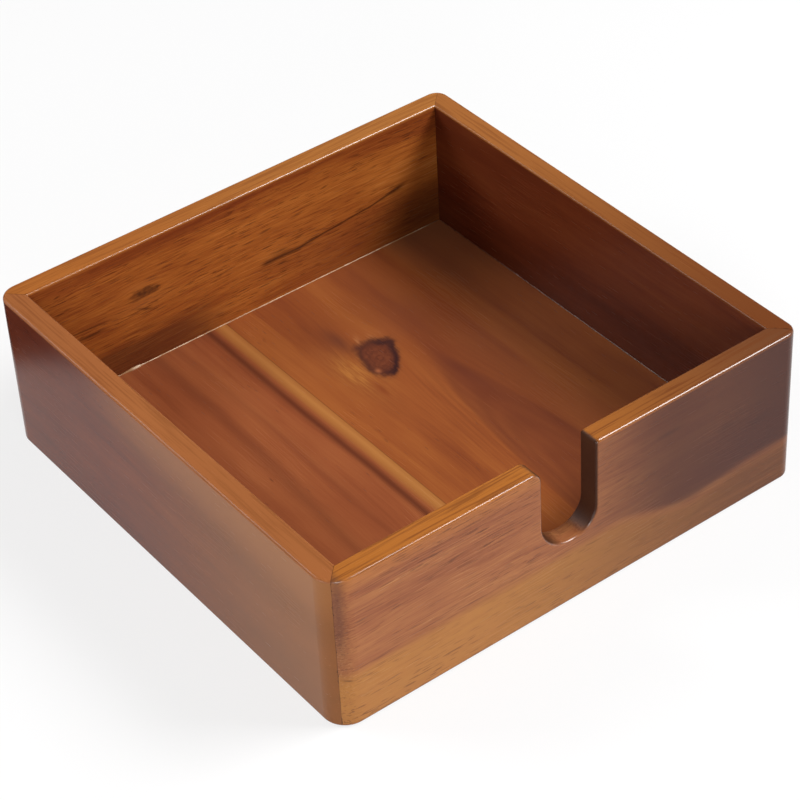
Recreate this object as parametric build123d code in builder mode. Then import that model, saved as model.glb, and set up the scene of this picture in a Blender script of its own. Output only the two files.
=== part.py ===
"""Square open napkin holder: four mitred walls, one with a thumb notch, round a floor panel of two boards.

Millimetres. The origin is on the table under the middle of the holder and +Z is up. The notched front wall
faces -Y, and +X is to the right of someone who faces the notch.
"""

import os
from math import hypot, sqrt

from build123d import *

# ---------------------------------------------------------------- driving dimensions
# Overall size, outside
holder_width = 190.0  # left to right
holder_depth = 190.0  # front to back
holder_height = 61.0  # table to rim

# Walls
wall_thickness = 8.0
front_left_radius = 8.5  # rounding of the outer vertical corners, which are sanded by eye and not all alike
back_left_radius = 7.0
front_right_radius = 5.0
back_right_radius = 5.0
outer_arris = 1.0  # sanded edge of the rim, the foot and the notch, on the outside
inner_arris = 0.8  # sanded edge of the rim and the notch, on the inside
foot_arris = 0.5  # sanded inner edge of the foot

# Thumb notch in the front wall
notch_depth = 35.0  # rim to the lowest point
notch_left_radius = 12.0  # lower left turn of the U
notch_right_radius = 9.0  # lower right turn of the U, tighter than the left one
notch_flat = 1.0  # straight bottom between the two turns
notch_offset = -2.8  # middle of the notch, from the middle of the wall
left_shoulder_radius = 4.0  # where the rim rolls down into the notch
right_shoulder_radius = 1.5  # the right shoulder is nearly square

# Floor panel, held in a groove that runs round the inside of the walls
floor_thickness = 6.0
floor_recess = 4.0  # table to the underside of the panel
groove_depth = 3.5
panel_play = 0.5  # room at the bottom of the groove for the boards to swell
left_board_width = 79.2  # the right board takes up the rest

# Loose splines glued across the mitres
spline_thickness = 2.0
spline_reach = 3.0  # how far a spline enters each of its two walls
spline_setback = 3.5  # inner corner of the mitre to the middle of the spline
spline_rim_cover = 8.0  # wood left over the spline's top end
spline_floor_cover = 3.0  # wood left between the groove and the spline's lower end
spline_chamfer = 0.4  # lead-in on the spline's long edges
glue_gap = 0.1  # glue line between a spline and each face of its slot

# ---------------------------------------------------------------- derived sizes
inner_width = holder_width - 2 * wall_thickness
inner_depth = holder_depth - 2 * wall_thickness
floor_top = floor_recess + floor_thickness

notch_width = notch_left_radius + notch_flat + notch_right_radius
notch_left = notch_offset - notch_width / 2
notch_right = notch_offset + notch_width / 2
notch_middle_height = holder_height - notch_depth / 2

groove_width = inner_width + 2 * groove_depth
groove_length = inner_depth + 2 * groove_depth
panel_left = -groove_width / 2 + panel_play
panel_right = groove_width / 2 - panel_play
panel_length = groove_length - 2 * panel_play
board_seam = panel_left + left_board_width

spline_foot = floor_top + spline_floor_cover
spline_height = holder_height - spline_rim_cover - spline_foot
spline_inset = spline_setback / sqrt(2)  # the setback, measured along X and along Y

tolerance = 0.001  # for telling which face an edge lies on

# Each corner is its side along X and its side along Y, seen from the middle of the holder.
corners = {"front_left": (-1, -1), "front_right": (1, -1), "back_right": (1, 1), "back_left": (-1, 1)}
corner_radius = {
    corners["front_left"]: front_left_radius,
    corners["front_right"]: front_right_radius,
    corners["back_right"]: back_right_radius,
    corners["back_left"]: back_left_radius,
}


# ---------------------------------------------------------------- helpers
def inner_corner(side_x, side_y):
    """Inner corner of the walls, in plan."""
    return side_x * inner_width / 2, side_y * inner_depth / 2


def spline_place(side_x, side_y):
    """Middle of a spline in plan: on the mitre, set back from the inner corner, and square to the mitre."""
    corner_x, corner_y = inner_corner(side_x, side_y)
    middle = (corner_x + side_x * spline_inset, corner_y + side_y * spline_inset, 0)
    return Location(middle, -45 * side_x * side_y)


def mitre_plane(side_x, side_y, runs_along_x):
    """Plane of one corner's 45 degree mitre. Its normal points into the wall that is kept."""
    turn = 1 if runs_along_x else -1
    return Plane(origin=(*inner_corner(side_x, side_y), 0), z_dir=(-turn * side_x, turn * side_y, 0))


def depth_in_wall(edge):
    """How far the middle of an edge lies behind the outer face of the walls, rounded corners included."""
    middle = edge.center()
    radius = corner_radius[1 if middle.X > 0 else -1, 1 if middle.Y > 0 else -1]
    past_x = abs(middle.X) - (holder_width / 2 - radius)
    past_y = abs(middle.Y) - (holder_depth / 2 - radius)
    if past_x > 0 and past_y > 0:
        return radius - hypot(past_x, past_y)
    return radius - max(past_x, past_y)


def is_outside(edge):
    """True for an edge on the outer face of a wall."""
    return abs(depth_in_wall(edge)) < tolerance


def is_inside(edge):
    """True for an edge on the inner face of a wall."""
    return abs(depth_in_wall(edge) - wall_thickness) < tolerance


def mouth_edge(edges, side):
    """The edge across the rim, at the side of the notch's mouth that lies at X = side."""
    across = edges.filter_by(Axis.Y).group_by(Axis.Z)[-1]
    return across.sort_by(lambda edge: abs(edge.center().X - side))[0]


def in_notch(edge):
    """True for the edges of the notch and its two shoulders, below the rim."""
    middle = edge.center()
    beside = notch_left - left_shoulder_radius < middle.X < notch_right + right_shoulder_radius
    return beside and 0 < middle.Z < holder_height


def save(part, label):
    """Names a finished piece and writes it."""
    part.label = label
    export_step(part, f"parts/{label}.step")


os.makedirs("parts", exist_ok=True)

# ---------------------------------------------------------------- the four walls, while still one ring
with BuildPart() as ring:
    with BuildSketch() as plan:
        Rectangle(holder_width, holder_depth)
        for (side_x, side_y), radius in corner_radius.items():
            outwards = Axis((0, 0, 0), (side_x, side_y, 0))
            fillet(plan.vertices().sort_by(outwards)[-1], radius)
        Rectangle(inner_width, inner_depth, mode=Mode.SUBTRACT)
    extrude(amount=holder_height)

    # The notch is a U whose two lower turns differ.
    with BuildSketch(Plane.XZ.offset(inner_depth / 2)) as notch:
        with Locations((notch_offset, notch_middle_height)):
            Rectangle(notch_width, notch_depth)
        fillet(notch.vertices().group_by(Axis.Y)[0].sort_by(Axis.X)[0], notch_left_radius)
        fillet(notch.vertices().group_by(Axis.Y)[0].sort_by(Axis.X)[-1], notch_right_radius)
    extrude(amount=wall_thickness, mode=Mode.SUBTRACT)

    fillet(mouth_edge(ring.edges(), notch_left), left_shoulder_radius)
    fillet(mouth_edge(ring.edges(), notch_right), right_shoulder_radius)

    # Sanded edges: the rim and the notch share one unbroken edge outside, and another one inside.
    rim = ring.edges().group_by(Axis.Z)[-1] + ring.edges().filter_by(in_notch)
    foot = ring.edges().group_by(Axis.Z)[0]
    fillet((rim + foot).filter_by(is_outside), outer_arris)
    rim = ring.edges().group_by(Axis.Z)[-1] + ring.edges().filter_by(in_notch)
    fillet(rim.filter_by(is_inside), inner_arris)
    fillet(ring.edges().group_by(Axis.Z)[0].filter_by(is_inside), foot_arris)

    # The groove that holds the floor panel.
    with BuildSketch(Plane.XY.offset(floor_recess)):
        Rectangle(groove_width, groove_length)
    extrude(amount=floor_thickness, mode=Mode.SUBTRACT)

    # The slots for the splines, stopped below the rim.
    with BuildSketch(Plane.XY.offset(spline_foot - glue_gap)):
        with Locations(*[spline_place(*corner) for corner in corners.values()]):
            Rectangle(2 * (spline_reach + glue_gap), spline_thickness + 2 * glue_gap)
    extrude(amount=spline_height + 2 * glue_gap, mode=Mode.SUBTRACT)

# ---------------------------------------------------------------- each wall is its own stretch of the ring
walls = {
    "wall_front": ("front_left", "front_right"),
    "wall_right": ("front_right", "back_right"),
    "wall_back": ("back_right", "back_left"),
    "wall_left": ("back_left", "front_left"),
}
for name, ends in walls.items():
    runs_along_x = name in ("wall_front", "wall_back")
    with BuildPart() as wall:
        add(ring.part)
        for end in ends:
            split(bisect_by=mitre_plane(*corners[end], runs_along_x), keep=Keep.TOP)
    save(wall.part, name)

# ---------------------------------------------------------------- floor panel: two edge-glued boards
boards = {"floor_board_left": (panel_left, board_seam), "floor_board_right": (board_seam, panel_right)}
for name, (left, right) in boards.items():
    with BuildPart() as board:
        with BuildSketch(Plane.XY.offset(floor_recess)):
            with Locations(((left + right) / 2, 0)):
                Rectangle(right - left, panel_length)
        extrude(amount=floor_thickness)
    save(board.part, name)

# ---------------------------------------------------------------- a loose spline in each mitre
for name, corner in corners.items():
    with BuildPart() as spline:
        with BuildSketch(Plane.XY.offset(spline_foot)):
            with Locations(spline_place(*corner)):
                Rectangle(2 * spline_reach, spline_thickness)
        extrude(amount=spline_height)
        chamfer(spline.edges().filter_by(Axis.Z), spline_chamfer)
    save(spline.part, f"spline_{name}")
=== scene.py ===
# %% [markdown]
# A wooden napkin holder, finished in Blender
#
# The holder is a square, open tray: four mitred walls round a floor of two boards, with a thumb notch in
# the front wall. Its shape comes from a CAD model and is not touched here. This lesson gives it its
# looks: the camera and the studio, the wood of each board, and the thin line of glue that dried in the
# floor joint. Every length in the scene is in metres, but the wood is written in millimetres, as a joiner
# would say it.

from math import atan2, cos, radians, sin

import bmesh
import bpy
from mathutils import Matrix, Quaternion, Vector


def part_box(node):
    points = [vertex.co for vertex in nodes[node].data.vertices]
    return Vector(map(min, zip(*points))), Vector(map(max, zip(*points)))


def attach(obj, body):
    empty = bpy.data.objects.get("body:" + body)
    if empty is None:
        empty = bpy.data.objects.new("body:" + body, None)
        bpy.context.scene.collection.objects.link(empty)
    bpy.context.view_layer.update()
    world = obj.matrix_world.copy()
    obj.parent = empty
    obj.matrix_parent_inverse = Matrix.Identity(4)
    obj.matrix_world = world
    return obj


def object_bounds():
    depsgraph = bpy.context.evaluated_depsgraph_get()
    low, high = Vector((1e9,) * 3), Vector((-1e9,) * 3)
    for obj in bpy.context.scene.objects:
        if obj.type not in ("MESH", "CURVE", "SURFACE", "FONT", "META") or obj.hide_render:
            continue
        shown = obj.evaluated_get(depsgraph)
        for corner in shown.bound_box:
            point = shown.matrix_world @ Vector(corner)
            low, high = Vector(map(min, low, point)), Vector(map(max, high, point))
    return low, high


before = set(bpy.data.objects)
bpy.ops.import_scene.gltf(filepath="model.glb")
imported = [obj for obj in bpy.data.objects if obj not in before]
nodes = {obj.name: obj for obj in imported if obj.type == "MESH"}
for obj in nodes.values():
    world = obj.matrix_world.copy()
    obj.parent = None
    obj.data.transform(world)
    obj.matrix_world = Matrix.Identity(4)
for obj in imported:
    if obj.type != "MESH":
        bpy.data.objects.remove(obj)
cad_low, cad_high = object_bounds()
print("pieces from the CAD model:", sorted(nodes))

# %% [markdown]
# The sizes that the finishes and the glue need are read from the model, so that they follow it.

# %% Sizes
MM = 0.001
wall_low, wall_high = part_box("wall_front")
board_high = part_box("floor_board_left")[1]

outer_x = cad_high.x / MM
outer_y = cad_high.y / MM
rim_z = cad_high.z / MM
wall = (wall_high.y - wall_low.y) / MM
inner_x = outer_x - wall
inner_y = outer_y - wall
floor_z = board_high.z / MM
seam_x = board_high.x / MM
print(f"outside {2 * outer_x:.0f} mm, rim {rim_z:.0f} mm, wall {wall:.0f} mm, floor {floor_z:.0f} mm up")

# %% [markdown]
# The camera stands off the front left corner and looks down on it. A long lens keeps the far edges nearly
# parallel to the near ones, as a product photographer does. The camera leans a little, so it is turned
# about its own line of sight after it has been aimed. Distances are in metres, the lens and its sensor in
# millimetres.

# %% Camera
VIEW_AZIMUTH = radians(-35.417)
VIEW_ELEVATION = radians(39.342)
VIEW_LEAN = radians(-3.279)
VIEW_DISTANCE = 0.94137
AIM_RIGHT = 0.0007
AIM_UP = 0.01769
LENS = 122.98
SENSOR_WIDTH = 36

back = Vector(
    (
        sin(VIEW_AZIMUTH) * cos(VIEW_ELEVATION),
        -cos(VIEW_AZIMUTH) * cos(VIEW_ELEVATION),
        sin(VIEW_ELEVATION),
    )
)
turn = back.to_track_quat("Z", "Y") @ Quaternion((0, 0, 1), VIEW_LEAN)

camera_data = bpy.data.cameras.new("camera")
camera_data.lens = LENS
camera_data.sensor_width = SENSOR_WIDTH
camera = bpy.data.objects.new("camera", camera_data)
camera.rotation_mode = "QUATERNION"
camera.rotation_quaternion = turn
camera.location = back * VIEW_DISTANCE + turn @ Vector((AIM_RIGHT, AIM_UP, 0))
bpy.context.scene.collection.objects.link(camera)
bpy.context.scene.camera = camera
print("camera stands at", tuple(round(x, 3) for x in camera.location))

# %% [markdown]
# A finish in Blender is a tree of nodes. Sums such as 1 - mask are easier to read as sums than as a list
# of nodes and links, so two small classes let Python write them. A Wire is one output of a node, and
# adding or multiplying wires adds Math nodes. A Paint is the tree, and makes every other kind of node
# with one method.

# %% Wires
class Wire:
    """One output of a node. Python's operators on it add Math nodes to its tree."""

    def __init__(self, paint, socket):
        self.paint = paint
        self.socket = socket

    def math(self, operation, *values):
        return self.paint.node("ShaderNodeMath", {"operation": operation}, dict(enumerate(values)))

    def __add__(self, other):
        return self.math("ADD", self, other)

    def __radd__(self, other):
        return self.math("ADD", other, self)

    def __sub__(self, other):
        return self.math("SUBTRACT", self, other)

    def __rsub__(self, other):
        return self.math("SUBTRACT", other, self)

    def __mul__(self, other):
        return self.math("MULTIPLY", self, other)

    def __rmul__(self, other):
        return self.math("MULTIPLY", other, self)

    def __truediv__(self, other):
        return self.math("DIVIDE", self, other)

    def __pow__(self, other):
        return self.math("POWER", self, other)

    def __abs__(self):
        return self.math("ABSOLUTE", self)

    def exp(self):
        return self.math("EXPONENT", self)

    def most(self, other):
        return self.math("MAXIMUM", self, other)

    def sine(self):
        return self.math("SINE", self)


# %% [markdown]
# A Paint starts from an empty tree. Its methods add the few kinds of node that the finishes below share:
# one colour laid over another, a smooth step, soft noise and a bump. A Mix node has a set of sockets for
# each kind of value, and those for colours are inputs 6 and 7 and output 2.

# %% Paint
class Paint:
    """The node tree of one finish."""

    def __init__(self, owner):
        owner.use_nodes = True
        self.owner = owner
        self.tree = owner.node_tree
        self.tree.nodes.clear()

    def node(self, kind, settings=(), inputs=(), out=0):
        """Adds a node: its settings first, then its inputs, and gives back one of its outputs."""
        made = self.tree.nodes.new(kind)
        for key, value in dict(settings).items():
            if key == "stops":
                self.set_stops(made.color_ramp, value)
            else:
                setattr(made, key, value)
        for key, value in dict(inputs).items():
            if isinstance(value, Wire):
                self.tree.links.new(value.socket, made.inputs[key])
            else:
                made.inputs[key].default_value = value
        return Wire(self, made.outputs[out]) if len(made.outputs) else None

    @staticmethod
    def set_stops(ramp, stops):
        """Gives a colour ramp its stops, as pairs of a place and a colour."""
        for _ in range(len(stops) - 2):
            ramp.elements.new(0.5)
        for element, (place, colour) in zip(ramp.elements, stops):
            element.position = place
            element.color = colour

    def output(self, shader):
        """Joins a shader to the output and gives back the finished material."""
        self.node("ShaderNodeOutputMaterial", inputs={"Surface": shader})
        return self.owner

    def mix(self, under, over, share):
        """Lays one colour over another."""
        return self.node("ShaderNodeMix", {"data_type": "RGBA"}, {0: share, 6: under, 7: over}, out=2)

    def vector(self, x, y, z):
        return self.node("ShaderNodeCombineXYZ", inputs={0: x, 1: y, 2: z})

    def step(self, wire, start, end):
        """Rises smoothly from 0 to 1 as the wire goes from start to end."""
        settings = {"interpolation_type": "SMOOTHSTEP"}
        inputs = {"Value": wire, "From Min": start, "From Max": end}
        return self.node("ShaderNodeMapRange", settings, inputs)

    def cloud(self, vector, detail=3.0, roughness=0.55):
        """Soft noise from 0 to 1 with one lump for each unit of the vector."""
        inputs = {"Vector": vector, "Scale": 1.0, "Detail": detail, "Roughness": roughness}
        return self.node("ShaderNodeTexNoise", inputs=inputs)

    def bump(self, height, depth, strength):
        """Tilts the surface as if it rose and fell with the height."""
        inputs = {"Strength": strength, "Distance": depth, "Height": height}
        return self.node("ShaderNodeBump", inputs=inputs, out="Normal")


# %% [markdown]
# Colours are written as a screen shows them, with red, green and blue from 0 to 255, because that is how
# people pick them. A shader adds up light, so each value is made linear first.

# %% Colours
def rgb(red, green, blue):
    """A colour as a screen shows it, from 0 to 255, made linear for the shader."""

    def linear(value):
        share = value / 255
        if share <= 0.04045:
            return share / 12.92
        return ((share + 0.055) / 1.055) ** 2.4

    return (linear(red), linear(green), linear(blue), 1)


print("a screen grey of 128 is", round(rgb(128, 128, 128)[0], 3), "of full light")

# %% [markdown]
# The studio: a pale floor that fills the view, and four soft boxes. The key box hangs high on the right
# and a little in front, so the right wall shades the floor beside it and the far end of the back wall,
# with a soft border. The fill box, opposite, lifts those shadows. A long low box lights the left wall,
# which the other two miss, and a small one by the near corner brightens the two outer faces where they
# meet. The room is pale along the horizon and dim overhead, so the lacquer of upright faces mirrors a
# pale floor and the rim stays clear. The floor is a little grey by itself. A glow makes it white, which is
# only seen, straight or in a reflection, and lights nothing.

# %% Floor and room
FLOOR_SIZE = 8.0
FLOOR_COLOUR = rgb(245, 245, 245)
FLOOR_GLOW = 0.72
GLOW_SEEN_BY = ("Is Camera Ray", "Is Glossy Ray", "Is Transmission Ray")
HORIZON = rgb(192, 190, 188)
OVERHEAD = rgb(92, 92, 93)
HORIZON_FADE = 0.28

bpy.ops.object.select_all(action="DESELECT")
bpy.ops.mesh.primitive_plane_add(size=FLOOR_SIZE, location=(0, 0, 0))
floor = bpy.context.object
floor.name = "studio_floor"

floor_paint = Paint(bpy.data.materials.new("studio_paper"))
paper = floor_paint.node(
    "ShaderNodeBsdfPrincipled",
    inputs={"Base Color": FLOOR_COLOUR, "Roughness": 0.9, "Specular IOR Level": 0.2},
)
glow = floor_paint.node("ShaderNodeEmission", inputs={"Color": (1, 1, 1, 1), "Strength": 1.0})
seen = [floor_paint.node("ShaderNodeLightPath", out=ray) for ray in GLOW_SEEN_BY]
glow_share = seen[0].most(seen[1]).most(seen[2]) * FLOOR_GLOW
look = floor_paint.node("ShaderNodeMixShader", inputs={0: glow_share, 1: paper, 2: glow})
floor.data.materials.append(floor_paint.output(look))
print(f"paper floor {FLOOR_SIZE:.0f} m wide, {FLOOR_GLOW:.0%} of it glow")

room = bpy.data.worlds.new("room")
bpy.context.scene.world = room
room_paint = Paint(room)
direction = room_paint.node("ShaderNodeTexCoord", out="Generated")
height = room_paint.node("ShaderNodeSeparateXYZ", inputs={0: direction}, out="Z")
sky = room_paint.mix(HORIZON, OVERHEAD, room_paint.step(height, 0.0, HORIZON_FADE))
room_light = room_paint.node("ShaderNodeBackground", inputs={"Color": sky, "Strength": 1.0})
room_paint.node("ShaderNodeOutputWorld", inputs={"Surface": room_light})


# %% Lamps
def soft_box(name, place, width, height, power, target=(0, 0, 0.03)):
    """A rectangular soft box at a place, facing the holder."""
    data = bpy.data.lights.new(name, "AREA")
    data.shape = "RECTANGLE"
    data.size = width
    data.size_y = height
    data.energy = power
    lamp = bpy.data.objects.new(name, data)
    lamp.location = place
    lamp.rotation_mode = "QUATERNION"
    lamp.rotation_quaternion = (Vector(place) - Vector(target)).to_track_quat("Z", "Y")
    bpy.context.scene.collection.objects.link(lamp)
    print(f"{name}: {width} x {height} m, {power} W")


soft_box("key_box", (0.72, -0.48, 1.00), 0.60, 0.50, 16.0)
soft_box("fill_box", (-0.60, 0.75, 0.80), 0.60, 0.60, 6.5)
soft_box("side_box", (-0.62, 0.00, 0.13), 0.50, 0.16, 0.5)
soft_box("corner_box", (-0.30, -0.52, 0.26), 0.24, 0.20, 1.0, target=(-0.06, -0.06, 0.05))

bpy.context.scene.view_settings.view_transform = "Standard"

# %% [markdown]
# A small black card lies on the paper off the back left corner, as a photographer might lay one. The
# lacquer at the back of the left wall mirrors the card and not the paper, so the red of the wood comes
# through there. Only glossy rays see the card: it is out of the picture and casts no shadow. Its near edge
# lies along a line through two points, where rays mirrored by the wall meet the floor.

# %% Black card
CARD_SIZE = 0.12
CARD_EDGE = (Vector((-0.138, 0.1056, 0)), Vector((-0.116, 0.1248, 0)))
CARD_HEIGHT = 1 * MM
CARD_COLOUR = rgb(40, 34, 32)

edge_way = (CARD_EDGE[1] - CARD_EDGE[0]).normalized()
outwards = Vector((-edge_way.y, edge_way.x, 0))
card_middle = (CARD_EDGE[0] + CARD_EDGE[1]) / 2 + outwards * CARD_SIZE / 2 + Vector((0, 0, CARD_HEIGHT))
bpy.ops.object.select_all(action="DESELECT")
bpy.ops.mesh.primitive_plane_add(
    size=CARD_SIZE, location=card_middle, rotation=(0, 0, atan2(edge_way.y, edge_way.x))
)
card = bpy.context.object
card.name = "black_card"
card.visible_camera = False
card.visible_diffuse = False
card.visible_shadow = False
card.visible_transmission = False

card_paint = Paint(bpy.data.materials.new("black_paper"))
black = card_paint.node("ShaderNodeBsdfPrincipled", inputs={"Base Color": CARD_COLOUR, "Roughness": 1.0})
card.data.materials.append(card_paint.output(black))
print("black card lies at", tuple(round(x, 3) for x in card_middle))

# %% [markdown]
# Wood is solid, so its pattern is worked out in space and not painted on each face. The grain runs along
# a board, and everything in it is long that way and narrow across. Broad growth bands, streaks a few
# millimetres wide, threads, fine fibres and short dark pores are the same noise, stretched by different
# amounts. The lines wander a little, and they swell round a knot, so the place across the board is bent
# before the noise reads it. The seed of the board and the number of the noise shift each pattern to a
# stretch of its own.

# %% The grain of a board
WANDER = 8
PORE_NOISE = 31


class Board:
    """Places in one board, in millimetres: along its grain, across its face, through its thickness."""

    def __init__(self, name, along, across, through, seed):
        self.paint = Paint(bpy.data.materials.new(name))
        self.seed = seed
        place = self.paint.node("ShaderNodeTexCoord", out="Object")
        places = {}
        for axis in "XYZ":
            places[axis] = self.paint.node("ShaderNodeSeparateXYZ", inputs={0: place}, out=axis) / MM
        self.x = places["X"]
        self.y = places["Y"]
        self.z = places["Z"]
        self.along = places[along]
        self.across = places[across]
        self.through = places[through]
        self.flow = self.across + (self.lumps(110, 26, 11, detail=2.0) - 0.5) * WANDER

    def stretched(self, across, length, width, number):
        """A vector in which one unit is so long along the grain and so wide across it, in millimetres."""
        shift = self.seed * number
        return self.paint.vector(self.along / length + shift, across / width, self.through / width - shift)

    def lumps(self, length, width, number, detail=3.0, roughness=0.55, bent=False):
        """Noise with lumps of that length and width. Where it is bent, it follows the grain lines."""
        across = self.flow if bent else self.across
        return self.paint.cloud(self.stretched(across, length, width, number), detail, roughness)

    def grit(self, size, number, detail=1.0):
        """Noise that is as long as it is wide."""
        shift = self.seed * number
        vector = self.paint.vector(self.x / size, self.y / size, self.z / size + shift)
        return self.paint.cloud(vector, detail)

    def facing(self, axis):
        """How far the surface faces along an axis, from -1 to 1."""
        normal = self.paint.node("ShaderNodeTexCoord", out="Normal")
        return self.paint.node("ShaderNodeSeparateXYZ", inputs={0: normal}, out=axis)

    def step(self, wire, start, end):
        """Rises smoothly from 0 to 1, as the step of the paint does."""
        return self.paint.step(wire, start, end)

    def bell(self, wire, middle, reach):
        """1 at the middle, falling off smoothly at about the reach on both sides."""
        away = (wire - middle) / reach
        return (away * away * -1).exp()

    def spot(self, place, length, width, slope=0.0):
        """A soft oval spot: 1 in its middle. The slope tilts it against the grain."""
        away_along = self.along - place[0]
        away_across = self.across - place[1] - away_along * slope
        long_part = away_along / length
        wide_part = away_across / width
        return ((long_part * long_part + wide_part * wide_part) * -1).exp()

    def swell(self, place, length, width, push):
        """Bends the grain lines round a knot."""
        near = self.spot(place, length, width)
        self.flow = self.flow - (self.across - place[1]) * near * push

    def pores(self, length, width, size):
        """Short dark lines along the grain: 1 inside a pore."""
        inputs = {"Vector": self.stretched(self.flow, length, width, PORE_NOISE), "Scale": 1.0}
        nearest = self.paint.node("ShaderNodeTexVoronoi", inputs=inputs, out="Distance")
        return self.step(nearest, size, size * 0.45)


print(f"grain lines wander within a band of {WANDER} mm")

# %% [markdown]
# Every board gets the same lacquer. It is a clear satin finish: gloss enough to mirror the pale floor
# softly, with tiny dips over the pores. It was sprayed from the front and above, and it dried thicker on
# the rounded edges that face that way. Those edges get a coat on top, which catches the key box as a thin
# bright line. Sawn end grain soaks lacquer up and stays dull. Where two walls meet at a mitre, the joint
# shows as a hairline. The line comes and goes, and it is chipped in places, as a glued joint is.

# %% Lacquer
LACQUER_ROUGHNESS = 0.25
LACQUER_GLOSS = 0.18
BUILD_UP_ROUGHNESS = 0.22
BUILD_UP_FACING = (0.15, 0.4)
HAZE_SIZE = 34
PORE_DEPTH = 0.03 * MM
HAIRLINE = 0.09
HAIRLINE_COLOUR = rgb(56, 27, 16)


def lacquer(board, colour, pores, fibres, dull=0.0):
    """Finishes a board with satin lacquer and gives back its material."""
    facing_up = board.step(board.facing("Z"), *BUILD_UP_FACING)
    facing_front = board.step(board.facing("Y") * -1, *BUILD_UP_FACING)
    haze = board.grit(HAZE_SIZE, 17)
    roughness = LACQUER_ROUGHNESS + (haze - 0.5) * 0.12 + pores * 0.16 + (fibres - 0.5) * 0.08 + dull * 0.3
    relief = (fibres - 0.5) * 0.2 - pores
    surface = board.paint.node(
        "ShaderNodeBsdfPrincipled",
        inputs={
            "Base Color": colour,
            "Roughness": roughness,
            "Specular IOR Level": LACQUER_GLOSS,
            "Coat Weight": facing_up * facing_front,
            "Coat Roughness": BUILD_UP_ROUGHNESS,
            "Normal": board.paint.bump(relief, PORE_DEPTH, strength=0.5),
        },
    )
    return board.paint.output(surface)


def mitre_line(board, colour):
    """Draws the hairline of the glued mitres, which lie where x and y are equally far out."""
    off_mitre = abs(abs(board.x) - abs(board.y))
    open_part = board.step(board.grit(7, 3), 0.36, 0.62)
    chips = board.step(board.grit(1.7, 5), 0.6, 0.7)
    reach = HAIRLINE * (0.3 + open_part) + chips * open_part * 0.3
    line = 1 - board.step(off_mitre - reach, -0.07, 0.1)
    return board.paint.mix(colour, HAIRLINE_COLOUR, line * 0.7)


def wear(board, node_name, finish):
    """Puts a finish on the CAD node."""
    slots = nodes[node_name].data.materials
    slots.clear()
    slots.append(finish)
    print(f"{node_name}: {len(board.paint.tree.nodes)} nodes in its finish")


print(f"lacquer: roughness {LACQUER_ROUGHNESS}, pore dips {PORE_DEPTH / MM:.2f} mm, hairline {HAIRLINE} mm")

# %% [markdown]
# Plain wood first: what a board looks like before knots and sapwood are laid over it. The bands, streaks
# and fibres add up to one tone from 0, darkest, to 1, palest, and a colour ramp turns it into brown. The
# lines are strong in some stretches and faint in others, because the saw meets the rings at changing
# angles.

# %% Plain wood
TONE_STOPS = (0.12, 0.35, 0.5, 0.66, 0.9)
PORE_COLOUR = rgb(74, 34, 18)


def plain_wood(board, tones, bands=0.8, streaks=0.7, fine=0.5, pore_size=0.2):
    """The colour of a board with no marks on it, and its pores and fibres. Tones run from dark to pale."""
    band = board.lumps(240, 17, 1, detail=2.0, bent=True)
    blotch = board.lumps(50, 15, 4, detail=2.0, bent=True)
    streak = board.lumps(130, 4.2, 2, roughness=0.6, bent=True)
    thread = board.lumps(46, 1.3, 6, detail=2.0, bent=True)
    fibres = board.lumps(12, 0.45, 3, detail=1.0, bent=True)
    busy = board.step(board.lumps(85, 20, 7, detail=1.0), 0.38, 0.66)
    lines = ((streak - 0.5) + (thread - 0.5) * 0.6) * (0.5 + busy * 0.9)
    broad = (band - 0.5) * bands + (blotch - 0.5) * bands * 0.7
    tone = 0.5 + broad + lines * streaks + (fibres - 0.5) * fine
    stops = [(place, rgb(*brown)) for place, brown in zip(TONE_STOPS, tones)]
    colour = board.paint.node("ShaderNodeValToRGB", {"stops": stops}, {0: tone})
    pores = board.pores(12, 1.1, pore_size) * board.step(board.lumps(40, 7, 5), 0.36, 0.62)
    colour = board.paint.mix(colour, PORE_COLOUR, pores * 0.55)
    return colour, pores, fibres


def dash(board, colour, darker, share):
    """Draws short dark dashes along the grain: the open ends of pores that stain has filled."""
    pore_ends = board.step(board.lumps(7, 0.55, 14, detail=1.0), 0.58, 0.66)
    crowded = 0.3 + board.step(board.lumps(45, 9, 20, detail=1.0), 0.35, 0.65) * 0.7
    return board.paint.mix(colour, darker, pore_ends * crowded * share)


def rim_of(board):
    """1 on the rim and its rounded edges."""
    return board.step(board.z, rim_z - 1.2, rim_z - 0.4)


def gild(board, colour, golden, share, lined=0.4):
    """Lays the golden colour of the sanded rim over the wood, with fine darker lines in it."""
    lines = board.step(board.lumps(26, 0.75, 15, roughness=0.6), 0.46, 0.64)
    darker = board.paint.mix(golden, rgb(116, 62, 28), lines * lined)
    return board.paint.mix(colour, darker, rim_of(board) * share)


print(f"plain wood runs through {len(TONE_STOPS)} tones of brown")

# %% [markdown]
# The left floor board is reddish brown, with a soft dark streak, and it ends at the seam in a strip of
# golden sapwood with a dark line beside it. Every mark on a board is laid over the wood in the same way.
# Its mask says where it is, in millimetres from the middle of the holder, and how wide it is. It is then
# mixed in by a share from 0 to 1. The places follow what can be seen of the real holder.

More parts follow.
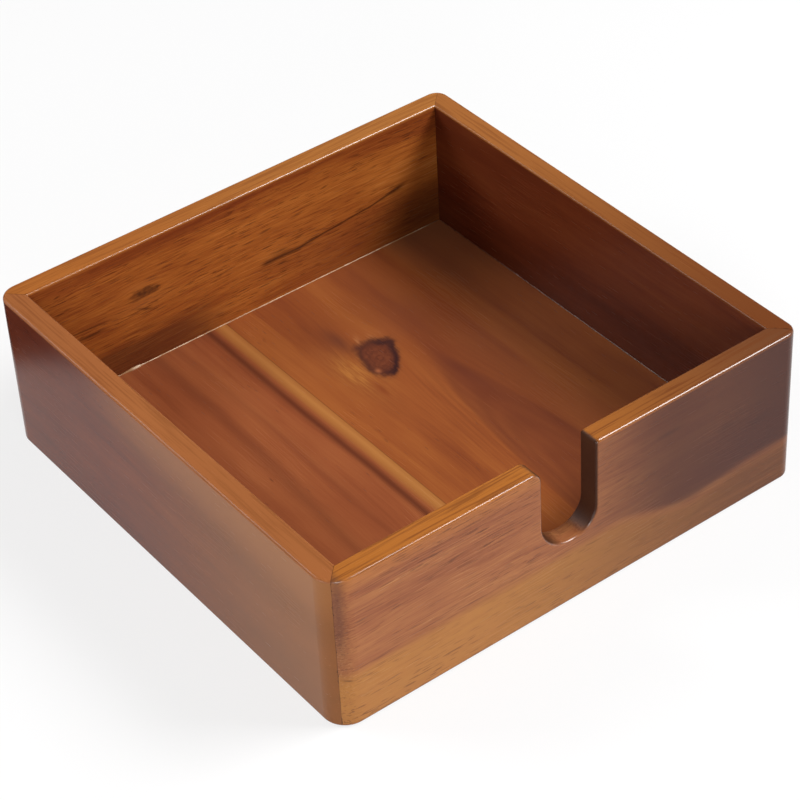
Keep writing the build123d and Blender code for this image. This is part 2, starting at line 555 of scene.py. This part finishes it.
# %% Left floor board
def left_floor_board():
    """Reddish brown, with streaks, and a golden strip along the seam."""
    board = Board("wood_floor_left", along="Y", across="X", through="Z", seed=3.1)
    tones = [(116, 59, 36), (137, 71, 42), (151, 82, 48), (163, 93, 54), (176, 108, 63)]
    colour, pores, fibres = plain_wood(board, tones, bands=0.55, streaks=0.3, fine=0.16, pore_size=0.15)
    mix = board.paint.mix
    leaning = board.flow - board.along * 0.045
    dark_streak = board.bell(leaning, -45.5, 3.0)
    colour = mix(colour, rgb(96, 46, 31), dark_streak * 0.36)
    faint_streak = board.bell(leaning, -55.0, 2.2)
    colour = mix(colour, rgb(122, 60, 36), faint_streak * 0.2)
    straight_streak = board.bell(board.flow, -33.0, 2.0)
    colour = mix(colour, rgb(118, 60, 38), straight_streak * 0.3)
    wander = board.across + (board.lumps(60, 12, 8) - 0.5) * 1.6
    line_by_strip = board.bell(wander, seam_x - 8.0, 1.5)
    colour = mix(colour, rgb(86, 40, 26), line_by_strip * 0.75)
    golden = board.step(wander, seam_x - 6.4, seam_x - 3.4)
    streaky = 0.62 + board.lumps(30, 1.1, 13, bent=True) * 0.36
    colour = mix(colour, rgb(174, 112, 56), golden * streaky)
    core = board.bell(wander, seam_x - 2.2, 1.1)
    colour = mix(colour, rgb(192, 130, 70), core * streaky * 0.6)
    edge = board.step(board.across, seam_x - 0.5, seam_x - 0.1)
    colour = mix(colour, rgb(96, 46, 24), edge * 0.6)
    wear(board, "floor_board_left", lacquer(board, colour, pores, fibres))


left_floor_board()

# %% [markdown]
# The right floor board was cut near the heart of a branch. It has a dark knot with a golden halo, and in
# front of it the growth rings come out as pointed arches, because the saw went through them at a slant. A
# parabola in the plan of the board gives each arch its place. The knot is no circle: it is a leaning,
# squarish block of dark wood that narrows towards the front, so its outline is a rounded square in axes
# of its own, with a dark rind, broken rings and mottled wood inside. The halo is not smooth either: it
# breaks up into wisps of fibre.

# %% Right floor board
def right_floor_board():
    """Arches of growth rings, and a dark knot in a golden halo behind them."""
    board = Board("wood_floor_right", along="Y", across="X", through="Z", seed=7.7)
    knot = (35.0, 19.0)
    board.swell(knot, 22, 11, 0.6)
    tones = [(110, 55, 32), (136, 70, 38), (153, 83, 42), (166, 95, 47), (180, 110, 57)]
    colour, pores, fibres = plain_wood(board, tones, bands=0.55, streaks=0.3, fine=0.16, pore_size=0.15)
    mix = board.paint.mix

    aside = board.across - 34.5
    arch = board.along + aside * aside * 0.42 + (board.lumps(60, 12, 8) - 0.5) * 14
    inside = 1 - board.step(arch, 6, 36)
    colour = mix(colour, rgb(106, 55, 38), inside * 0.5)
    rings = (arch * 0.3 + board.lumps(40, 9, 10) * 5).sine() * 0.5 + 0.5
    near_arch = board.step(board.along, 34, 6) * board.bell(board.across, 34, 18)
    colour = mix(colour, rgb(92, 44, 30), rings * near_arch * 0.22)
    tip_streak = board.spot((9, 37.5), 15, 2.0, slope=-0.1)
    colour = mix(colour, rgb(90, 45, 38), tip_streak * 0.45)
    front_streak = board.spot((-34, 45.5), 12, 1.5, slope=-0.08)
    colour = mix(colour, rgb(84, 40, 30), front_streak * 0.5)

    wisps = board.step(board.lumps(9, 0.8, 17, bent=True), 0.38, 0.66)
    halo = board.spot((33, 8.0), 18, 8.0) * 0.4 + board.spot((34.5, 6.8), 7, 3.6) * 0.5
    colour = mix(colour, rgb(186, 120, 58), halo * (0.45 + wisps * 0.75))
    shadow_behind = board.spot((52.5, 13.5), 9, 3.0)
    colour = mix(colour, rgb(96, 50, 38), shadow_behind * 0.65)
    red_fleck = board.spot((20.5, 9.4), 4, 1.1)
    colour = mix(colour, rgb(122, 52, 28), red_fleck * 0.5)
    pale = board.spot((47.6, 18.6), 3.0, 1.4, slope=0.5) + board.spot((46.6, 24.5), 2.4, 3.0) * 0.7
    colour = mix(colour, rgb(196, 128, 78), pale * wisps * 0.7)

    lean_cos = 0.94
    lean_sin = 0.34
    up = (board.along - knot[0]) * lean_cos + (board.across - knot[1]) * lean_sin
    over = (board.across - knot[1]) * lean_cos - (board.along - knot[0]) * lean_sin
    ragged = (board.grit(5, 9, detail=3) - 0.5) * 0.55 + (board.lumps(10, 0.9, 12) - 0.5) * 0.3
    half_length = 10.5
    half_width = up * 0.16 + 6.4
    radius = (abs(up / half_length) ** 3 + abs(over / half_width) ** 3) ** (1 / 3) + ragged
    core = 1 - board.step(radius, 0.74, 1.2)
    colour = mix(colour, rgb(98, 50, 37), core * 0.85)
    mottled = board.step(board.grit(1.8, 6, detail=2), 0.42, 0.66) * (1 - board.step(radius, 0.4, 0.8))
    colour = mix(colour, rgb(126, 68, 44), mottled * 0.6)
    broken_rings = board.step((radius * 16 + board.grit(3, 7, detail=2) * 13).sine(), 0.1, 1.0)
    colour = mix(colour, rgb(58, 30, 27), core * broken_rings * 0.22)
    rind = board.bell(radius, 0.9, 0.22) * (0.5 + board.step(over, -3, 4) * 0.45)
    colour = mix(colour, rgb(46, 28, 32), rind)
    pale_fleck = board.spot((29.5, 14.4), 1.3, 1.0)
    colour = mix(colour, rgb(190, 112, 70), pale_fleck * 0.6)

    shaded = board.bell(board.across, 46, 17) * (1 - board.step(board.along, 40, 75) * 0.7)
    colour = mix(colour, rgb(108, 54, 34), shaded * 0.6)
    # Painted light: the far right corner, in the shade of the walls, is lifted to a paler, greyer brown.
    far_corner_painted_light = board.step(board.across, 56, 72) * board.step(board.along, 25, 75)
    colour = mix(colour, rgb(176, 118, 82), far_corner_painted_light * 0.5)
    wear(board, "floor_board_right", lacquer(board, colour, pores, fibres))


right_floor_board()

# %% [markdown]
# The front wall was cut from the outside of the log. Its lower edge is pale sapwood, and the border with
# the mauve heartwood dips to the right, where the wood turns dark. The sapwood and the rim are also painted
# darker towards the right end, partly as darker wood and partly as painted falloff of light towards the
# near right corner. The border is a height that changes along the wall. The sides of the notch are cut end
# grain, which drinks more stain and dries dark. The mitred ends are end grain too, but they are glued, so
# the dark colour keeps to the middle of the wall.

# %% Front wall
def front_wall():
    """Golden sapwood below, mauve and dark heartwood above, and dark end grain in the notch."""
    board = Board("wood_wall_front", along="X", across="Z", through="Y", seed=12.4)
    tones = [(122, 66, 42), (142, 82, 51), (156, 95, 58), (168, 108, 64), (182, 122, 72)]
    colour, pores, fibres = plain_wood(board, tones, bands=0.5, streaks=0.34, fine=0.55, pore_size=0.24)
    mix = board.paint.mix

    height_on_left = 22.3
    dip = board.step(board.along, 12, 50) * 8.6
    rise = board.step(board.along, 46, 80) * 2.4
    ragged = (board.lumps(34, 4, 12) - 0.5) * 3
    border = height_on_left - dip + rise + ragged
    above = board.across - border
    golden_top = board.step(board.across, 53, 60) * (1 - board.step(board.along, -30, 15))
    colour = mix(colour, rgb(172, 106, 52), golden_top * 0.6)

    dark = board.step(board.along, -14, 44) * board.step(above, -2.6, 3.2)
    colour = mix(colour, rgb(72, 36, 26), dark * (0.86 + board.step(board.along, 55, 90) * 0.12))
    deep = board.spot((68, 26), 22, 12)
    colour = mix(colour, rgb(66, 32, 28), deep * dark * 0.4)
    spots = board.spot((38, 48), 5, 1.0) + board.spot((64, 37), 4, 1.2) + board.spot((78, 32), 4, 1.8)
    colour = mix(colour, rgb(60, 30, 24), spots * 0.4)

    lines = board.step(board.lumps(20, 0.8, 13, bent=True), 0.52, 0.64)
    near_border = board.bell(above, 1.6, 2.6) * (1 - board.step(board.along, 0, 40))
    colour = mix(colour, rgb(104, 56, 38), lines * near_border * 0.6)

    sapwood = 1 - board.step(above, -3.0, 2.0)
    pale_grain = 0.74 + (board.lumps(60, 3.2, 16, bent=True) - 0.5) * 0.5
    # The sapwood runs from golden to very dark towards the right end: partly darker wood, partly painted
    # falloff of light.
    pale = mix(rgb(178, 120, 58), rgb(80, 42, 18), board.step(board.along, -52, 92))
    colour = mix(colour, pale, sapwood * pale_grain)
    colour = dash(board, colour, rgb(86, 46, 28), 0.6 - board.step(board.along, -20, 60) * 0.4)
    # Painted shade along the foot, where the lower edge rounds under.
    painted_foot_shade = 1 - board.step(board.across, 0.3, 1.6)
    colour = mix(colour, rgb(92, 40, 24), painted_foot_shade * 0.6)
    scratch = board.spot((-90, 19.5), 1.6, 0.35, slope=-0.3)
    colour = mix(colour, rgb(84, 48, 32), scratch * 0.7)

    # The rim is painted darker towards the right end too, partly as painted falloff of light.
    golden = mix(rgb(176, 106, 42), rgb(116, 70, 41), board.step(board.along, -22, 94))
    colour = gild(board, colour, golden, 0.85, lined=0.75)

    in_notch = board.step(abs(board.along), outer_x / 3, outer_x / 4)
    end_grain = board.step(abs(board.facing("X")), 0.15, 0.75) * in_notch
    colour = mix(colour, rgb(52, 26, 16), end_grain * 0.9)
    # Painted shade on the rounded near corner, in a dark band beside the mitre.
    corner = board.bell(board.along, -91.4, 1.9) * board.step(board.across, 16, 44)
    colour = mix(colour, rgb(84, 54, 46), corner * 0.5)
    pores = pores * (1 - end_grain)
    wear(board, "wall_front", lacquer(board, mitre_line(board, colour), pores, fibres, dull=end_grain))


front_wall()

# %% [markdown]
# The back wall is the liveliest board. Its inner face is golden, full of pores, with a small knot, a dark
# vein that sweeps up to the right, and a dark reddish stretch by the floor on the left.

# %% Back wall
def back_wall():
    """Golden and full of pores, with a knot, a vein and torn marks."""
    board = Board("wood_wall_back", along="X", across="Z", through="Y", seed=21.8)
    knot = (-42.3, 39.8)
    board.swell(knot, 14, 6, 0.5)
    tones = [(122, 60, 30), (150, 77, 34), (170, 95, 40), (186, 109, 47), (200, 126, 62)]
    colour, pores, fibres = plain_wood(board, tones, bands=0.8, streaks=0.42, fine=0.6, pore_size=0.28)
    mix = board.paint.mix

    colour = dash(board, colour, rgb(78, 36, 18), 0.65)
    reddish_top = board.step(board.across, 52, 60)
    colour = mix(colour, rgb(130, 60, 26), reddish_top * 0.4)
    left_edge = board.step(board.lumps(60, 9, 12), 0.3, 0.7) * 8
    low_left = (1 - board.step(board.flow + left_edge, 22, 32)) * (1 - board.step(board.along, -30, 0))
    colour = mix(colour, rgb(88, 42, 27), low_left * 0.7)
    low_right = (1 - board.step(board.flow, 24, 33)) * board.step(board.along, -10, 50)
    colour = mix(colour, rgb(118, 58, 30), low_right * 0.4)

    vein_start = 8
    vein_length = 62
    run = (board.along - vein_start) / vein_length
    vein_height = 27.6 + run * run * 5.6
    in_run = board.step(board.along, 5, 9) * (1 - board.step(board.along, 68, 74))
    thick = 0.45 + (1 - board.step(board.along, 8, 34)) * 0.75 + board.bell(board.along, 69, 4) * 0.6
    away = (board.across - vein_height + (board.lumps(14, 5, 14) - 0.5) * 1.6) / thick
    vein = (away * away * -1).exp() * in_run
    colour = mix(colour, rgb(58, 26, 16), vein * 0.8)

    marks = (
        board.spot((15, 30.2), 3.0, 0.45)
        + board.spot((15.5, 24.6), 2.2, 0.55)
        + board.spot((-66, 32.4), 5.5, 0.6, slope=-0.03)
        + board.spot((-67, 35.6), 9.0, 0.35, slope=-0.04)
        + board.spot((-43.2, 33.0), 3.4, 0.6, slope=-0.4)
    )
    torn = 0.55 + board.lumps(5, 0.8, 18) * 0.8
    colour = mix(colour, rgb(64, 30, 19), marks * torn * 0.8)

    # Painted shadow of the right wall, low at the right end of the wall.
    painted_corner_shade = board.spot((80, 16), 18, 14)
    colour = mix(colour, rgb(60, 31, 19), painted_corner_shade * 0.6)

    away_along = (board.along - knot[0]) / 6.2
    away_across = (board.across - knot[1]) / 2.5
    ragged = (board.lumps(5, 1.0, 15) - 0.5) * 2.6
    off_knot = away_along * away_along + away_across * away_across + ragged
    core = 1 - board.step(off_knot, 0.1, 1.4)
    colour = mix(colour, rgb(66, 36, 24), core * (0.35 + board.grit(1.6, 19, detail=2) * 0.7))
    halo = board.spot((-43, 35.6), 11, 2.0) + board.spot((-44, 43.6), 8, 1.2)
    colour = mix(colour, rgb(186, 112, 56), halo * 0.35)

    # Painted shade in a thin reddish line just under the rounded top edge.
    painted_shade_under_rim = board.bell(board.across, rim_z - 2.3, 0.8)
    colour = mix(colour, rgb(118, 50, 22), painted_shade_under_rim * 0.45)
    golden = mix(rgb(178, 108, 48), rgb(184, 122, 60), board.step(board.along, -80, 70))
    colour = gild(board, colour, golden, 0.7)
    wear(board, "wall_back", lacquer(board, mitre_line(board, colour), pores, fibres))


back_wall()

# %% [markdown]
# The two side walls are quieter. The left one goes from dark reddish brown at the back to tan at the
# front, palest at its top, with a darker wedge in its upper back corner. The right one stays dark, partly
# with painted shade, and its rim is painted darker towards the front. Both have a golden rim.

# %% Side walls
def left_wall():
    """Dark at the back, tan at the front."""
    board = Board("wood_wall_left", along="Y", across="Z", through="X", seed=33.3)
    tones = [(82, 31, 14), (96, 39, 18), (107, 46, 22), (118, 55, 27), (132, 69, 35)]
    colour, pores, fibres = plain_wood(board, tones, bands=0.6, streaks=0.4, fine=0.45, pore_size=0.16)
    mix = board.paint.mix
    front_part = 1 - board.step(board.along, -88, 40)
    colour = mix(colour, rgb(146, 94, 48), front_part * 0.7)
    top_front = board.step(board.across, 38, 58) * (1 - board.step(board.along, 0, 50))
    colour = mix(colour, rgb(170, 112, 62), top_front * 0.4)
    wedge = board.across - rim_z + (board.along - 45) * 0.62
    colour = mix(colour, rgb(82, 32, 19), board.step(wedge, -14, 12) * 0.6)
    golden = mix(rgb(164, 97, 54), rgb(176, 108, 60), board.step(board.along, -60, 40))
    colour = gild(board, colour, golden, 0.75)
    wear(board, "wall_left", lacquer(board, mitre_line(board, colour), pores, fibres))


def right_wall():
    """Dark all along, under a golden rim."""
    board = Board("wood_wall_right", along="Y", across="Z", through="X", seed=45.9)
    # The dark tones are partly the wood and partly painted shade of the inner face, which faces away from
    # the key box.
    tones = [(76, 32, 18), (88, 38, 21), (98, 44, 24), (108, 52, 28), (120, 64, 35)]
    colour, pores, fibres = plain_wood(board, tones, bands=0.7, streaks=0.35, fine=0.35, pore_size=0.18)
    # The rim is painted darker towards the front, partly as painted falloff of light towards the near right
    # corner.
    golden = board.paint.mix(rgb(116, 64, 31), rgb(174, 109, 54), board.step(board.along, -98, 80))
    colour = gild(board, colour, golden, 0.85)
    wear(board, "wall_right", lacquer(board, mitre_line(board, colour), pores, fibres))


left_wall()
right_wall()

# %% [markdown]
# The four loose splines sit inside the mitres and never show once the holder is glued. They still get a
# finish, a paler wood with the grain along the spline, for whoever takes the holder apart.

# %% Splines
def splines():
    """Gives all four splines one pale finish."""
    board = Board("wood_spline", along="Z", across="X", through="Y", seed=51.2)
    tones = [(168, 120, 78), (184, 140, 94), (196, 154, 106), (208, 168, 120), (220, 182, 136)]
    colour, pores, fibres = plain_wood(board, tones, bands=0.3, streaks=0.3, fine=0.2)
    finish = lacquer(board, colour, pores, fibres)
    for name in sorted(nodes):
        if name.startswith("spline_"):
            wear(board, name, finish)


splines()

# %% [markdown]
# Glue was squeezed out where the floor meets the walls, and it dried as a pale, uneven thread that
# catches the light. It could be painted on the wood as a line, but a line has no shine of its own, so
# each thread is a real piece. It starts as a long thin cylinder, laid into the angle and sunk half into
# both boards. Its long edges are divided, which gives rings, and the rings are pushed about at random and
# smoothed, so no stretch is like the next.

# %% A thread of glue
THREAD_RADIUS = 0.30 * MM
THREAD_SIDES = 10
THREAD_RINGS = 90
THREAD_UNEVEN = 0.08 * MM

joint_z = floor_z * MM
back_joint = inner_y * MM
side_joint = inner_x * MM
print(f"the floor joint is {inner_x:.0f} mm out at the sides, {inner_y:.0f} mm at front and back")


def glue_line(name, middle, length, angle, seed):
    """One thread of glue in the angle of the floor and a wall, left in edit mode."""
    bpy.ops.object.select_all(action="DESELECT")
    bpy.ops.mesh.primitive_cylinder_add(
        vertices=THREAD_SIDES,
        radius=THREAD_RADIUS,
        depth=length,
        location=middle,
        rotation=(0, radians(90), angle),
    )
    thread = bpy.context.object
    thread.name = name
    bpy.ops.object.transform_apply(location=True, rotation=True, scale=True)
    bpy.ops.object.mode_set(mode="EDIT")
    bpy.ops.mesh.select_mode(type="EDGE")
    bpy.ops.mesh.select_all(action="DESELECT")
    mesh = bmesh.from_edit_mesh(thread.data)
    for edge in mesh.edges:
        edge.select = edge.calc_length() > length / 2
    bmesh.update_edit_mesh(thread.data)
    bpy.ops.mesh.subdivide(number_cuts=THREAD_RINGS)
    bpy.ops.mesh.select_all(action="SELECT")
    bpy.ops.transform.vertex_random(offset=THREAD_UNEVEN, normal=0.8, seed=seed)
    bpy.ops.mesh.vertices_smooth(factor=0.5, repeat=2)
    return thread


# %% [markdown]
# Dried glue is pale amber, glossy and a little cloudy, so one soft noise drives its colour, its roughness
# and its bump. By the right wall it is painted darker, as painted shade of that side of the floor.

# %% Dried glue
GLUE_CLOUDS_PER_METRE = 240
GLUE_BUMP = 0.1 * MM


def dried_glue():
    """The material of the threads."""
    paint = Paint(bpy.data.materials.new("dried_glue"))
    place = paint.node("ShaderNodeTexCoord", out="Object")
    clouds = (GLUE_CLOUDS_PER_METRE,) * 3
    scaled = paint.node("ShaderNodeMapping", inputs={"Vector": place, "Scale": clouds})
    cloudy = paint.cloud(scaled)
    colour = paint.mix(rgb(176, 132, 92), rgb(214, 182, 148), paint.step(cloudy, 0.35, 0.62))
    across = paint.node("ShaderNodeSeparateXYZ", inputs={0: place}, out="X")
    # Painted shade: the glue is painted darker along the right wall.
    painted_shade_by_right_wall = paint.step(across, side_joint * 0.86, side_joint * 0.99)
    colour = paint.mix(colour, rgb(104, 62, 40), painted_shade_by_right_wall)
    bump = paint.bump(cloudy, GLUE_BUMP, strength=0.4)
    surface = paint.node(
        "ShaderNodeBsdfPrincipled",
        inputs={"Base Color": colour, "Roughness": 0.22 + cloudy * 0.2, "Normal": bump},
    )
    return paint.output(surface)


glue = dried_glue()
print("dried glue is a tree of", len(glue.node_tree.nodes), "nodes")

# %% [markdown]
# A thread comes out of its making with hard edges, so one level of subdivision rounds it. It rides on the
# same body as the holder, and goes wherever that goes.

# %% Three threads
def finish_thread(thread, material):
    """Rounds the thread, gives it its finish and lets it ride on the holder."""
    bpy.ops.object.mode_set(mode="OBJECT")
    rounding = thread.modifiers.new("rounding", "SUBSURF")
    rounding.levels = 1
    rounding.render_levels = 1
    bpy.ops.object.modifier_apply(modifier=rounding.name)
    bpy.ops.object.shade_smooth()
    thread.data.materials.append(material)
    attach(thread, "root")
    print(f"{thread.name}: {len(thread.data.polygons)} faces")


threads = {
    "glue_line_front": ((0, -back_joint, joint_z), 2 * side_joint, 0, 4),
    "glue_line_right": ((side_joint, 0, joint_z), 2 * back_joint, radians(90), 7),
    "glue_line_left": ((-side_joint, 0, joint_z), 2 * back_joint, radians(90), 11),
}
for name, (middle, length, angle, seed) in threads.items():
    finish_thread(glue_line(name, middle, length, angle, seed), glue)

# %% [markdown]
# At the back a drop ran out before the glue set. That thread is made like the others, and the rings of
# the drop are then scaled up about the joint, so the drop grows out of the thread.

# %% The drop
DROP_FROM = -53 * MM
DROP_TO = -48 * MM
DROP_SWELL = 3.2


def select_vertices(piece, wanted):
    """Selects the vertices whose place is wanted, in edit mode."""
    bpy.ops.mesh.select_mode(type="VERT")
    bpy.ops.mesh.select_all(action="DESELECT")
    mesh = bmesh.from_edit_mesh(piece.data)
    for vertex in mesh.verts:
        vertex.select = wanted(vertex.co)
    mesh.select_flush(True)
    bmesh.update_edit_mesh(piece.data)


back_thread = glue_line("glue_line_back", (0, back_joint, joint_z), 2 * side_joint, 0, 15)
select_vertices(back_thread, lambda place: DROP_FROM < place.x < DROP_TO)
drop_middle = ((DROP_FROM + DROP_TO) / 2, back_joint, joint_z)
bpy.ops.transform.resize(value=(1, DROP_SWELL, DROP_SWELL), center_override=drop_middle)
bpy.ops.mesh.vertices_smooth(factor=0.5, repeat=1)
finish_thread(back_thread, glue)
